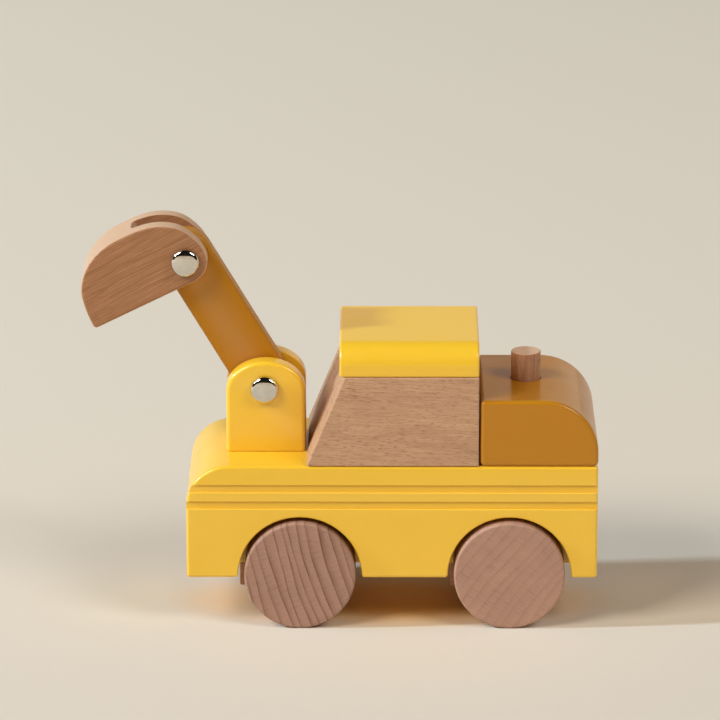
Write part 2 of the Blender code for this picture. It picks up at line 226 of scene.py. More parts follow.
def loft(name, outline, stations, along="Y"):
    """A closed solid whose rings are the outline at each station: a place along the axis, and an inset."""
    mesh = bmesh.new()
    rings = []
    for place, depth in stations:
        points = [(u, place, v) if along == "Y" else (place, u, v) for u, v in inset(outline, depth)]
        rings.append([mesh.verts.new(Vector(point) * MM) for point in points])
    for ring, after in zip(rings, rings[1:]):
        for k in range(len(ring)):
            mesh.faces.new((ring[k - 1], ring[k], after[k], after[k - 1]))
    mesh.faces.new(rings[0])
    mesh.faces.new(rings[-1])
    bmesh.ops.recalc_face_normals(mesh, faces=mesh.faces)
    return add(name, mesh)


def rounded_ends(low, high, radius, steps=5):
    """Stations that round over both ends of a solid."""
    ends = []
    for step in range(steps + 1):
        angle = math.radians(90 * step / steps)
        ends.append((radius * (1 - math.cos(angle)), radius * (1 - math.sin(angle))))
    near = [(low + along, depth) for along, depth in ends]
    far = [(high - along, depth) for along, depth in reversed(ends)]
    return near + far


def lathe(name, profile, centre, axis="Y", segments=128):
    """A solid turned about an axis through the centre. Its (radius, height) points start and end on it."""
    mesh = bmesh.new()
    points = [mesh.verts.new(Vector((radius, 0, height)) * MM) for radius, height in profile]
    edges = [mesh.edges.new(pair) for pair in zip(points, points[1:])]
    bmesh.ops.spin(
        mesh,
        geom=points + edges,
        cent=(0, 0, 0),
        axis=(0, 0, 1),
        angle=math.tau,
        steps=segments,
        use_merge=True,
    )
    bmesh.ops.remove_doubles(mesh, verts=mesh.verts, dist=0.000002)
    bmesh.ops.recalc_face_normals(mesh, faces=mesh.faces)
    turn = Matrix.Rotation(math.radians({"Y": -90, "-Y": 90, "Z": 0}[axis]), 4, "X")
    mesh.transform(Matrix.Translation(Vector(centre) * MM) @ turn)
    return add(name, mesh)


def corner_arc(centre, radius, start, end, steps=6):
    """An arc of a turned profile, as (radius, height) points."""
    return [tuple(point) for point in arc(centre, radius, start, end, steps)]


def bake(piece):
    """Makes what the piece's modifiers do its own mesh."""
    graph = bpy.context.evaluated_depsgraph_get()
    data = bpy.data.meshes.new_from_object(piece.evaluated_get(graph), depsgraph=graph)
    old = piece.data
    piece.modifiers.clear()
    piece.data = data
    bpy.data.meshes.remove(old)


def subtract(piece, cutters):
    for cutter in cutters:
        boolean = piece.modifiers.new("cut", "BOOLEAN")
        boolean.operation = "DIFFERENCE"
        boolean.solver = "EXACT"
        boolean.object = cutter
    bake(piece)
    for cutter in cutters:
        bpy.data.objects.remove(cutter)


def soften(piece, radius, segments=4):
    """Rounds over every sharp edge that the piece has."""
    bevel = piece.modifiers.new("roundover", "BEVEL")
    bevel.width = radius * MM
    bevel.segments = segments
    bevel.limit_method = "ANGLE"
    bevel.angle_limit = math.radians(35)
    bake(piece)


def socket_cutters(*dowels):
    """Holes for upright dowels, a little wider and longer than they are."""
    cutters = []
    for dowel in dowels:
        low, high = span(dowel)
        middle = (low + high) / 2
        radius = (high.x - low.x) / 2 + CLEARANCE
        profile = [(0, low.z - CLEARANCE), (radius, low.z - CLEARANCE), (radius, high.z + CLEARANCE)]
        profile.append((0, high.z + CLEARANCE))
        cutters.append(lathe("socket", profile, (middle.x, middle.y, 0), "Z", 32))
    return cutters


def pin_bore(x, z, reach):
    radius = PIN_RADIUS + CLEARANCE
    return lathe("bore", [(0, -reach), (radius, -reach), (radius, reach), (0, reach)], (x, 0, z), "Y", 48)


def place(piece, body, slot, finish, *nodes):
    """Gives a finished piece its finish, smooth shading and its body, and hides the CAD nodes it stands for.
    """
    data = piece.data
    data.materials.clear()
    data.materials.append(finish)
    data.shade_smooth()
    data.set_sharp_from_angle(angle=math.radians(32))
    normals = piece.modifiers.new("flat_faces_stay_flat", "WEIGHTED_NORMAL")
    normals.keep_sharp = True
    normals.weight = 80
    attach(piece, body)
    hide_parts(*nodes)
    return piece


# ---------------------------------------------------------------- finishes


class Finish:
    """A material under construction, with its pattern in the object's own space."""

    def __init__(self, name):
        self.material = bpy.data.materials.new(name)
        self.material.use_nodes = True
        self.tree = self.material.node_tree
        self.shader = self.tree.nodes["Principled BSDF"]
        self.place = self.tree.nodes.new("ShaderNodeTexCoord").outputs["Object"]

    def feed(self, socket, value):
        if isinstance(value, bpy.types.NodeSocket):
            self.tree.links.new(value, socket)
        else:
            socket.default_value = value

    def node(self, kind, inputs=(), **settings):
        made = self.tree.nodes.new(kind)
        for name, value in settings.items():
            setattr(made, name, value)
        for key, value in dict(inputs).items():
            self.feed(made.inputs[key], value)
        return made

    def math(self, operation, *values):
        return self.node("ShaderNodeMath", enumerate(values), operation=operation).outputs[0]

    def scaled(self, vector, by):
        return self.node("ShaderNodeVectorMath", {0: vector, 1: by}, operation="MULTIPLY").outputs[0]

    def noise(self, vector, scale=1.0, detail=2.0, roughness=0.5):
        inputs = {"Vector": vector, "Scale": scale, "Detail": detail, "Roughness": roughness}
        return self.node("ShaderNodeTexNoise", inputs).outputs[0]

    def between(self, value, low, high, new_low=0.0, new_high=1.0):
        """The value, taken from one range to another and held inside it."""
        inputs = {0: value, 1: low, 2: high, 3: new_low, 4: new_high}
        return self.node("ShaderNodeMapRange", inputs).outputs[0]

    def curve(self, value, stops):
        """A smooth grey ramp through (position, level) stops."""
        ramp = self.node("ShaderNodeValToRGB", {0: value})
        elements = ramp.color_ramp.elements
        for _ in stops[2:]:
            elements.new(0.5)
        for element, (position, level) in zip(elements, stops):
            element.position = position
            element.color = (level, level, level, 1)
        return ramp.outputs[0]

    def mix(self, share, first, second, blend="MIX"):
        inputs = {0: share, 6: first, 7: second}
        return self.node("ShaderNodeMix", inputs, data_type="RGBA", blend_type=blend).outputs[2]

    def set(self, **sockets):
        for name, value in sockets.items():
            self.feed(self.shader.inputs[name.replace("_", " ")], value)

    def bump(self, height, strength, distance):
        inputs = {"Height": height, "Strength": strength, "Distance": distance * MM}
        self.set(Normal=self.node("ShaderNodeBump", inputs).outputs[0])


def rgb(red, green, blue, by=1.0):
    return (red * by, green * by, blue * by, 1.0)


def paint(name, colour, roughness, coat, coat_roughness, ior):
    """Satin-gloss paint on sanded beech: a slow drift of tone, faint grain and a fine orange peel."""
    finish = Finish(name)
    drift = finish.noise(finish.place, 16, 3)
    ghost = finish.noise(finish.scaled(finish.place, (30, 420, 420)), 1, 3, 0.6)
    peel = finish.noise(finish.place, 1300, 2, 0.6)
    # Sharp edges turn paler: mostly a painted highlight, with a little wear of thin paint
    edge = finish.node("ShaderNodeNewGeometry").outputs["Pointiness"]
    edge_wear_and_highlight = finish.between(edge, 0.52, 0.60, 0, 0.22)
    toned = finish.mix(finish.between(drift, 0.3, 0.7), rgb(*colour, 0.985), rgb(*colour, 1.015))
    toned = finish.mix(finish.between(ghost, 0.35, 0.75, 0, 0.03), toned, rgb(*colour, 0.82))
    pale = rgb(*[level + (1 - level) * 0.30 for level in colour])
    toned = finish.mix(edge_wear_and_highlight, toned, pale)
    patchy = finish.noise(finish.place, 90, 3)
    rough = finish.between(patchy, 0.3, 0.7, roughness - 0.035, roughness + 0.045)
    relief = finish.math("MULTIPLY_ADD", ghost, 0.5, finish.math("MULTIPLY", peel, 0.35))
    finish.bump(relief, 0.06, 0.05)
    finish.set(Base_Color=toned, Roughness=rough, IOR=ior, Coat_Weight=coat, Coat_Roughness=coat_roughness)
    return finish.material


def log_place(finish, grain, pith, seed):
    """A place in the log, as (from the pith, round it, along the grain), and its distance from the pith."""
    mapping = finish.node("ShaderNodeMapping", {0: finish.place}, vector_type="TEXTURE")
    mapping.inputs["Location"].default_value = Vector(pith) * MM
    mapping.inputs["Rotation"].default_value = Vector(grain).to_track_quat("Z", "Y").to_euler()
    split = finish.node("ShaderNodeSeparateXYZ", {0: mapping.outputs[0]}).outputs
    squared = [finish.math("MULTIPLY", part, part) for part in split[:2]]
    radius = finish.math("SQRT", finish.math("ADD", *squared))
    reach = Vector(pith).length * MM
    around = finish.math("MULTIPLY", finish.math("ARCTAN2", split[1], split[0]), reach)
    warp = finish.noise(mapping.outputs[0], 22, 2)
    radius = finish.math("MULTIPLY_ADD", warp, 0.0042, radius)
    log = finish.node("ShaderNodeCombineXYZ", {0: radius, 1: around, 2: split[2]}).outputs[0]
    shift = (seed, seed * 0.7, seed * 1.3)
    return finish.node("ShaderNodeVectorMath", {0: log, 1: shift}).outputs[0], radius


def beech(name, tones, grain, pith, rings, ring_depth, flecks, fibres, seed=0.0, painted_light_faces=None):
    """Bare beech in the log's own frame: the distance from the pith, and the ways round it and along it.

    tones are the pale wood and its dark lines; pith is a point on the log's axis in millimetres; rings is the
    spacing of the growth rings. The ray cells give short dark dashes on a face that looks along the rings'
    radius, and fine lines across the rings on end grain. The last argument is a tone, and the axis and the
    range of the
    normal along it that take it: painted light, which makes the faces that turn that way lighter.
    """
    finish = Finish(name)
    log, radius = log_place(finish, grain, pith, seed)
    uneven = finish.noise(finish.scaled(log, (160, 12, 12)), 1, 1)
    phase = finish.math("DIVIDE", radius, rings * MM)
    phase = finish.math("FRACT", finish.math("MULTIPLY_ADD", uneven, 1.6, phase))
    ring = finish.curve(phase, [(0.0, 0.0), (0.55, 0.12), (0.86, 0.55), (0.94, 1.0), (1.0, 0.0)])
    broken = finish.between(finish.noise(finish.scaled(log, (300, 70, 70)), 1, 2), 0.3, 0.7, 0.45, 1.0)
    ring = finish.math("MULTIPLY", ring, broken)

    dash = finish.noise(finish.scaled(log, (150, 3000, 350)), 1, 2, 0.55)
    dash = finish.between(dash, 0.56, 0.70)
    light_dash = finish.noise(finish.scaled(log, (180, 2100, 300)), 1, 2, 0.5)
    light_dash = finish.between(light_dash, 0.58, 0.74)
    fibre = finish.noise(finish.scaled(log, (2300, 2300, 45)), 1, 3, 0.6)
    fibre = finish.between(fibre, 0.3, 0.7)
    pore = finish.noise(finish.scaled(log, (7000, 7000, 700)), 1, 1)
    broad = finish.between(finish.noise(finish.scaled(log, (70, 70, 14)), 1, 2), 0.3, 0.7)

    pale, dark = tones
    toned = finish.mix(broad, rgb(*pale, 0.94), rgb(*pale, 1.05))
    toned = finish.mix(finish.math("MULTIPLY", fibre, fibres), toned, rgb(*dark, 1.15))
    toned = finish.mix(finish.math("MULTIPLY", ring, ring_depth), toned, rgb(*dark))
    toned = finish.mix(finish.math("MULTIPLY", light_dash, 0.35 * flecks), toned, rgb(*pale, 1.18))
    toned = finish.mix(finish.math("MULTIPLY", dash, flecks), toned, rgb(*dark, 0.85))
    # Painted light: faces turned along the axis take the lighter tone
    if painted_light_faces:
        tone, axis, low, high = painted_light_faces
        inputs = {0: finish.node("ShaderNodeTexCoord").outputs["Normal"], 1: axis}
        facing = finish.node("ShaderNodeVectorMath", inputs, operation="DOT_PRODUCT").outputs["Value"]
        share = finish.between(finish.math("ABSOLUTE", facing), low, high, 0, 0.8)
        toned = finish.mix(share, toned, rgb(*tone))
    relief = finish.math("MULTIPLY_ADD", dash, -0.9, finish.math("MULTIPLY", fibre, 0.6))
    relief = finish.math("MULTIPLY_ADD", pore, 0.5, finish.math("MULTIPLY_ADD", ring, -0.5, relief))
    finish.bump(relief, 0.35, 0.06)
    rough = finish.between(fibre, 0, 1, 0.52, 0.66)
    finish.set(Base_Color=toned, Roughness=rough, Specular_IOR_Level=0.35)
    return finish.material


def steel(name, roughness):
    """Nickel-plated steel, polished, with a breath of handling marks."""
    finish = Finish(name)
    smear = finish.noise(finish.place, 260, 4, 0.65)
    fine = finish.noise(finish.place, 3200, 2)
    rough = finish.between(smear, 0.35, 0.75, roughness, roughness + 0.07)
    tint = finish.mix(finish.between(smear, 0.3, 0.7), rgb(0.64, 0.61, 0.54), rgb(0.74, 0.71, 0.64))
    finish.bump(fine, 0.02, 0.02)
    finish.set(Base_Color=tint, Roughness=rough, Metallic=1.0)
    return finish.material


# ---------------------------------------------------------------- pieces


def well_cutters(low, high):
    """The wheel wells: arches that are open below, with a rounded lip at the body's side."""
    wells = []
    lip = [math.radians(a) for a in (0, 20, 40, 60, 80)]
    flare = [(high.y - WELL_LIP * (1 - math.sin(a)), -WELL_LIP * (1 - math.cos(a))) for a in lip]
    flare.append((high.y + 2, flare[-1][1]))
    mouth = WELL_RADIUS + BODY_CORNER
    for end in ("front", "rear"):
        wheel_low, wheel_high = span(f"{end}_left_wheel")
        x = (wheel_low.x + wheel_high.x) / 2
        outline = [Vector((x + mouth, low.z - 3))]
        outline += arc((x + mouth, low.z + BODY_CORNER), BODY_CORNER, 270, 180, 6)
        outline += arc((x, low.z + WELL_RISE), WELL_RADIUS, 2, 178, 72)
        outline += arc((x - mouth, low.z + BODY_CORNER), BODY_CORNER, 0, -90, 6)
        outline.append(Vector((x - mouth, low.z - 3)))
        for side in (-1, 1):
            stations = [(side * reach, depth) for reach, depth in [(high.y - WELL_DEPTH, 0), *flare]]
            wells.append(loft("well", outline, stations))
    return wells


def groove_cutters(low, high):
    """Two grooves along each side, with eased edges."""
    grooves = []
    half = GROOVE_WIDTH / 2
    for height in GROOVES:
        middle = height + half
        for side in (-1, 1):
            face = side * high.y
            bottom = face - side * GROOVE_DEPTH
            eased = face - side * GROOVE_EASE
            lower = [(face + side * 2, -half - GROOVE_EASE), (face, -half - GROOVE_EASE), (eased, -half)]
            lower.append((bottom, -half))
            upper = [(across, -up) for across, up in reversed(lower)]
            outline = [Vector((across, middle + up)) for across, up in lower + upper]
            grooves.append(loft("groove", outline, [(low.x - 2, 0), (high.x + 2, 0)], "X"))
    return grooves


def channel_cutters(low, high):
    """The channels across the underside that the axles turn in."""
    channels = []
    for end in ("front", "rear"):
        axle_low, axle_high = span(f"{end}_axle")
        middle = (axle_low + axle_high) / 2
        radius = (axle_high.x - axle_low.x) / 2 + CLEARANCE
        outline = [Vector((middle.x - radius, low.z - 3)), Vector((middle.x + radius, low.z - 3))]
        outline += arc((middle.x, middle.z), radius, 0, 180, 20)
        channels.append(loft("channel", outline, [(low.y, 0), (high.y, 0)]))
    return channels


def make_chassis(finish):
    low, high = span("chassis")
    corners = [(low.x, low.z, BODY_CORNER), (high.x, low.z, BODY_CORNER), (high.x, high.z, BODY_CORNER)]
    corners.append((low.x, high.z, FRONT_RADIUS))
    piece = loft("chassis_block", rounded(corners), rounded_ends(low.y, high.y, BODY_EDGE, 6))
    subtract(piece, well_cutters(low, high))
    subtract(piece, groove_cutters(low, high))
    screws = [f"{end}_block_{where}_screw" for end in ("front", "rear") for where in ("outer", "inner")]
    dowels = [name for name in frame["nodes"] if name.endswith("_dowel") and not name.startswith("roof")]
    subtract(piece, channel_cutters(low, high) + socket_cutters(*screws, *dowels))
    place(piece, "body", "yellow_paint", finish, "chassis")


def make_cab(finish):
    low, high = span("cab")
    low.z -= SEAM
    outline = [(low.x, low.z), (high.x, low.z), (high.x, high.z), (low.x + CAB_FRONT_TOP, high.z)]
    corners = [(*point, CAB_CORNER) for point in outline]
    piece = loft("cab_block", rounded(corners), rounded_ends(low.y, high.y, WOOD_EDGE, 4))
    dowels = ("cab_front_dowel", "cab_rear_dowel", "roof_front_dowel", "roof_rear_dowel")
    subtract(piece, socket_cutters(*dowels))
    place(piece, "body", "beech", finish, "cab")


def make_roof(finish):
    low, high = span("roof")
    low.z -= SEAM
    corners = [(low.y, low.z, ROOF_CORNER), (high.y, low.z, ROOF_CORNER)]
    corners += [(high.y, high.z, ROOF_RADIUS), (low.y, high.z, ROOF_RADIUS)]
    piece = loft("roof_board", rounded(corners), rounded_ends(low.x, high.x, ROOF_EDGE), "X")
    subtract(piece, socket_cutters("roof_front_dowel", "roof_rear_dowel"))
    place(piece, "body", "yellow_paint", finish, "roof")


def make_engine(finish):
    low, high = span("engine_block")
    low.z -= SEAM
    corners = [(low.x, low.z, ENGINE_FOOT), (high.x, low.z, ENGINE_FOOT)]
    corners += [(high.x, high.z, ENGINE_RADIUS), (low.x, high.z, ENGINE_CORNER)]
    piece = loft("engine_cover", rounded(corners), rounded_ends(low.y, high.y, ENGINE_EDGE, 6))
    subtract(piece, socket_cutters("exhaust_peg", "engine_front_dowel", "engine_rear_dowel"))
    place(piece, "body", "ochre_paint", finish, "engine_block")


def make_peg(finish):
    low, high = span("exhaust_peg")
    middle = (low + high) / 2
    radius = (high.x - low.x) / 2
    edge = 0.5
    profile = [(0, low.z), (radius, low.z)]
    profile += corner_arc((radius - edge, high.z - edge), edge, 0, 90)
    profile.append((0, high.z))
    piece = lathe("exhaust_stub", profile, (middle.x, middle.y, 0), "Z", 96)
    place(piece, "body", "beech", finish, "exhaust_peg")


def make_bracket(finish, pivot):
    low, high = span("boom_bracket")
    low.z -= SEAM
    half = (high.x - low.x) / 2
    outline = [Vector((low.x, low.z - 5)), Vector((high.x, low.z - 5))]
    for point in arc((0, 0), 1, 0, 180, 48):
        across = low.x + half + point.x * half
        outline.append(Vector((across, high.z - BRACKET_CROWN + point.y * BRACKET_CROWN)))
    piece = loft("bracket_fork", outline, rounded_ends(low.y, high.y, BRACKET_EDGE, 7))
    slot = rectangle(-SLOT_WIDTH / 2, SLOT_WIDTH / 2, BRACKET_SLOT_FLOOR, high.z + 5)
    foot = rectangle(-high.y * 2, high.y * 2, low.z - 9, low.z)
    through = [(low.x - 5, 0), (high.x + 5, 0)]
    subtract(piece, [loft("cut", outline, through, "X") for outline in (slot, foot)])
    soften(piece, 0.5, 3)
    dowels = [f"bracket_{end}_{side}_dowel" for end in ("front", "rear") for side in ("left", "right")]
    subtract(piece, [pin_bore(pivot.x, pivot.z, high.y + 5), *socket_cutters(*dowels)])
    place(piece, "body", "yellow_paint", finish, "boom_bracket")


def make_boom(finish, pivot):
    low, high = span("boom")
    outline = arc((0, 0), BOOM_RADIUS, 180, 360, 36) + arc((0, BOOM_LENGTH), BOOM_RADIUS, 0, 180, 36)
    lean = Matrix.Rotation(math.radians(BOOM_LEAN), 2)
    base = Vector((pivot.x, pivot.z))
    outline = [base + lean @ point for point in outline]
    piece = loft("boom_arm", outline, rounded_ends(low.y, high.y, BOOM_EDGE, 6))
    far = base + lean @ Vector((0, BOOM_LENGTH))
    subtract(piece, [pin_bore(base.x, base.y, high.y + 5), pin_bore(far.x, far.y, high.y + 5)])
    place(piece, "boom", "ochre_paint", finish, "boom")


def make_bucket(finish, pivot):
    low, high = span("bucket")
    tilt = Matrix.Rotation(math.radians(BUCKET_TILT), 2)
    pin = Vector((pivot.x, pivot.z))
    curve = smooth_curve([BUCKET_HEEL, *BUCKET_CURVE], 6)
    inside_tip = (BUCKET_TIP[0] - BUCKET_TIP_RADIUS, BUCKET_TIP[1] + BUCKET_TIP_RADIUS)
    tip = arc(inside_tip, BUCKET_TIP_RADIUS, 0, -90, 6)
    outline = [pin + tilt @ Vector((-along, up)) for along, up in [*curve, *tip]]
    piece = loft("bucket_shell", outline, rounded_ends(low.y, high.y, BUCKET_ROUND, 6))
    half = SLOT_WIDTH / 2
    corners = [(-BUCKET_SLOT_END, -half, BUCKET_SLOT_CORNER), (30, -half, 0.1)]
    corners += [(30, half, 0.1), (-BUCKET_SLOT_END, half, BUCKET_SLOT_CORNER)]
    slot = loft("slot", rounded(corners), [(-40, 0), (40, 0)])
    stand = Matrix.Rotation(math.radians(90), 4, "X")
    turn = Matrix.Rotation(math.radians(-BUCKET_TILT), 4, "Y")
    slot.data.transform(Matrix.Translation(Vector((pivot.x, 0, pivot.z)) * MM) @ turn @ stand)
    subtract(piece, [slot])
    soften(piece, 0.4, 3)
    subtract(piece, [pin_bore(pivot.x, pivot.z, high.y + 5)])
    place(piece, "bucket", "beech", finish, "bucket")


def make_rivet(body, node, finish):
    """A pin with a low domed head on the left, and the domed cap pressed on its right end."""
    low, high = span(node)
    cap_low, cap_high = span(f"{node}_cap")
    middle = (low + high) / 2
    head = (high.x - low.x) / 2
    lean = math.degrees(math.asin((head - RIVET_RIM) / (RIVET_DOME - RIVET_RIM)))
    sunk = math.cos(math.radians(lean)) * (RIVET_DOME - RIVET_RIM)
    face = cap_low.y
    top = corner_arc((head - RIVET_RIM, RIVET_RIM_HEIGHT), RIVET_RIM, 0, 90 - lean, 8)
    top += corner_arc((0, RIVET_RIM_HEIGHT - sunk), RIVET_DOME, 90 - lean, 90, 8)[1:]
    edge = [(head - SHARP_EDGE, 0), (head, SHARP_EDGE)]
    reach = 2 * face + CAP_DEPTH
    shank = [(0, -reach), (PIN_RADIUS, -reach), (PIN_RADIUS, 0)]
    pin = lathe(f"{node}_rivet", shank + edge + top, (middle.x, -face, middle.z), "-Y", 96)
    place(pin, body, "polished_steel", finish, node)
    bore = PIN_RADIUS + CLEARANCE
    inside = [(0, CAP_DEPTH + CLEARANCE), (bore, CAP_DEPTH + CLEARANCE), (bore, 0)]
    cap = lathe(f"{node}_cap_dome", inside + edge + top, (middle.x, face, middle.z), "Y", 96)
    place(cap, body, "polished_steel", finish, f"{node}_cap")


def make_wheel(end, side, finish):
    node = f"{end}_{side}_wheel"
    low, high = span(node)
    axle_low, axle_high = span(f"{end}_axle")
    middle = (low + high) / 2
    radius = (high.x - low.x) / 2
    width = high.y - low.y
    edge = WHEEL_EDGE
    bore = (axle_high.x - axle_low.x) / 2 + CLEARANCE
    depth = axle_high.y - min(abs(low.y), abs(high.y)) + CLEARANCE
    profile = [(0, depth), (bore, depth), (bore, 0)]
    profile += corner_arc((radius - edge, edge), edge, -90, 0)
    profile += corner_arc((radius - edge, width - edge), edge, 0, 90)
    profile.append((0, width))
    inner = min(abs(low.y), abs(high.y))
    if side == "left":
        piece = lathe(f"{node}_disc", profile, (middle.x, -inner, middle.z), "-Y", 160)
    else:
        piece = lathe(f"{node}_disc", profile, (middle.x, inner, middle.z), "Y", 160)
    place(piece, f"{end}_wheels", "wheel_beech", finish, node)


def make_axle(end, finish):
    low, high = span(f"{end}_axle")
    middle = (low + high) / 2
    radius = (high.x - low.x) / 2
    edge = 0.6
    profile = [(0, low.y)] + corner_arc((radius - edge, low.y + edge), edge, -90, 0)
    profile += corner_arc((radius - edge, high.y - edge), edge, 0, 90)
    profile.append((0, high.y))
    piece = lathe(f"{end}_axle_rod", profile, (middle.x, 0, middle.z), "Y", 64)
    place(piece, f"{end}_wheels", "dowel_beech", finish, f"{end}_axle")


def make_screw(node, metal):
    """A countersunk screw, head down, with a cross recess."""
    low, high = span(node)
    centre = (low + high) / 2
    head = (high.x - low.x) / 2
    shank = head / 2
    rim = low.z + 0.4
    profile = [(0, low.z), (head - SHARP_EDGE, low.z), (head, low.z + SHARP_EDGE), (head, rim)]
    profile += [(shank, rim + head - shank), (shank, high.z - SCREW_POINT), (0, high.z)]
    screw = lathe(f"{node}_body", profile, (centre.x, centre.y, 0), "Z", 48)
    arms = []
    for wide, deep in ((2.0, 0.35), (0.35, 2.0)):
        recess = bmesh.new()
        rings = []
        for height, share in ((low.z - 0.5, 1.0), (low.z + 1.2, 0.75)):
            ring = rectangle(-wide * share, wide * share, -deep * share, deep * share)
            rings.append([recess.verts.new(Vector((*(centre.xy + point), height)) * MM) for point in ring])
        for k in range(4):
            recess.faces.new((rings[0][k - 1], rings[0][k], rings[1][k], rings[1][k - 1]))
        recess.faces.new(rings[0])
        recess.faces.new(rings[1])
        bmesh.ops.recalc_face_normals(recess, faces=recess.faces)
        arms.append(add("recess", recess))
    subtract(screw, arms)
    place(screw, "body", "polished_steel", metal, node)


def sink_cutter(node, low, high):
    """The countersunk hole for a screw, through a block from its lowest to its highest point."""
    screw_low, screw_high = span(node)
    centre = (screw_low + screw_high) / 2
    head = (screw_high.x - screw_low.x) / 2
    shank = head / 2
    start = screw_low.z + 0.3
    sink = [(0, low - 1), (head + 0.4, low - 1), (head + 0.4, start)]
    sink += [(shank + 0.3, start + head - shank), (shank + 0.3, high + 1), (0, high + 1)]
    return lathe("sink", sink, (centre.x, centre.y, 0), "Z", 48)


def make_axle_block(end, finish, metal):
    low, high = span(f"{end}_axle_block")
    high.z += SEAM
    corners = [(low.x, low.z, AXLE_BLOCK_FOOT), (high.x, low.z, AXLE_BLOCK_FOOT)]
    corners += [(high.x, high.z, AXLE_BLOCK_TOP), (low.x, high.z, AXLE_BLOCK_TOP)]
    piece = loft(f"{end}_axle_cap", rounded(corners), rounded_ends(low.y, high.y, AXLE_BLOCK_EDGE, 4))
    axle_low, axle_high = span(f"{end}_axle")
    middle = (axle_low + axle_high) / 2
    bore = (axle_high.x - axle_low.x) / 2 + CLEARANCE
    channel = [(0, -40), (bore, -40), (bore, 40), (0, 40)]
    cutters = [lathe("channel", channel, (middle.x, 0, middle.z), "Y", 50)]
    for where in ("outer", "inner"):
        node = f"{end}_block_{where}_screw"
        cutters.append(sink_cutter(node, low.z, high.z))
        make_screw(node, metal)
    subtract(piece, cutters)
    place(piece, "body", "dowel_beech", finish, f"{end}_axle_block")


# ---------------------------------------------------------------- studio


def make_floor():
    """Plain paper with painted light: lighter farther back to make up for the lamps' falloff, and painted
    shade in the body's yellow under it, for the light that bounces off the body.
    """
    mesh = bmesh.new()
    bmesh.ops.create_circle(mesh, cap_ends=True, radius=6.0, segments=96)
    floor = add("floor", mesh)
    finish = Finish("floor_paper")
    drift = finish.noise(finish.place, 1.3, 2)
    tooth = finish.noise(finish.place, 900, 3, 0.6)
    # Painted light: the paper is lighter farther back, to make up for the lamps' falloff
    painted_light_far = finish.between(finish.node("ShaderNodeSeparateXYZ", {0: finish.place}).outputs[1], -0.15, 1.05)
    colour = finish.mix(painted_light_far, rgb(0.735, 0.66, 0.55), rgb(0.92, 0.845, 0.70))
    colour = finish.mix(finish.between(drift, 0.3, 0.7, 0, 0.06), colour, rgb(0.9, 0.83, 0.72))
    low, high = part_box("chassis")
    middle = (low + high) / 2
    inputs = {0: finish.place, 1: (middle.x, 0, 0)}
    from_body = finish.node("ShaderNodeVectorMath", inputs, operation="SUBTRACT")
    shape = (2 / (high.x - low.x), 2 / (high.y - low.y), 0)
    from_body = finish.scaled(from_body.outputs[0], shape)
    from_body = finish.node("ShaderNodeVectorMath", {0: from_body}, operation="LENGTH").outputs["Value"]
    # Painted shade: the yellow bounce light and shade under the chassis, painted into the paper
    painted_bounce_shade = finish.between(from_body, 1.15, 0.45, 0, 0.8)
    colour = finish.mix(painted_bounce_shade, colour, rgb(0.85, 0.47, 0.09))
    finish.bump(tooth, 0.08, 0.05)
    finish.set(Base_Color=colour, Roughness=0.85, Specular_IOR_Level=0.2)
    floor.data.materials.append(finish.material)


def make_light(name, azimuth, elevation, distance, size, power, colour):
    """A soft box that faces the excavator. Azimuth 0 is the camera's side, 90 is +X and -90 is -X."""
    data = bpy.data.lights.new(name, "AREA")
    data.shape = "RECTANGLE"
    data.size, data.size_y = size
    data.energy = power
    data.color = colour
    light = bpy.data.objects.new(name, data)
    bpy.context.scene.collection.objects.link(light)
    turn, rise = math.radians(azimuth), math.radians(elevation)
    way = Vector((math.sin(turn) * math.cos(rise), -math.cos(turn) * math.cos(rise), math.sin(rise)))
    light.location = Vector((0, 0, 0.06)) + way * distance
    light.rotation_euler = way.to_track_quat("Z", "Y").to_euler()
    light.visible_camera = False


def map_range(tree, value, *limits):
    """The value taken from one range to another; limits are the old low and high, and the new."""
    made = tree.nodes.new("ShaderNodeMapRange")
    for socket, limit in zip(made.inputs[1:5], limits):
        socket.default_value = limit
    tree.links.new(value, made.inputs[0])
    return made.outputs[0]


def make_world():
    """Pale all round near the horizon and up behind the excavator, dim overhead and behind the camera."""
    world = bpy.data.worlds.new("studio")
    world.use_nodes = True
    bpy.context.scene.world = world
    tree = world.node_tree
    way = tree.nodes.new("ShaderNodeTexCoord").outputs["Generated"]
    split = tree.nodes.new("ShaderNodeSeparateXYZ")
    tree.links.new(way, split.inputs[0])
    reach = map_range(tree, split.outputs[1], -0.2, 0.5, 0.03, 0.75)
    pale = map_range(tree, split.outputs[2], 0.0, 1.0, 1.0, 0.0)
    tree.links.new(reach, pale.node.inputs[2])
    mix = tree.nodes.new("ShaderNodeMix")
    mix.data_type = "RGBA"
    mix.inputs[6].default_value = (0.012, 0.010, 0.008, 1)
    mix.inputs[7].default_value = (1.08, 0.86, 0.66, 1)
    tree.links.new(pale, mix.inputs[0])
    background = tree.nodes["Background"]
    tree.links.new(mix.outputs[2], background.inputs[0])
    background.inputs[1].default_value = 1.0


def make_camera():
    """A long lens at the photograph's place, aimed so that the excavator sits a little left and low."""
    data = bpy.data.cameras.new("camera")
    data.lens = 260
    data.clip_end = 50
    camera = bpy.data.objects.new("camera", data)
    bpy.context.scene.collection.objects.link(camera)
    camera.location = Vector(CAMERA_PLACE) * MM
    middle = (cad_low + cad_high) / 2
    back = (camera.location - middle).normalized()
    right = Vector((0, 0, 1)).cross(back).normalized()
    up = back.cross(right)
    aim = middle + (right * CAMERA_AIM[0] + up * CAMERA_AIM[1]) * MM
    camera.rotation_euler = (camera.location - aim).to_track_quat("Z", "Y").to_euler()
    bpy.context.scene.camera = camera


# ---------------------------------------------------------------- assembly

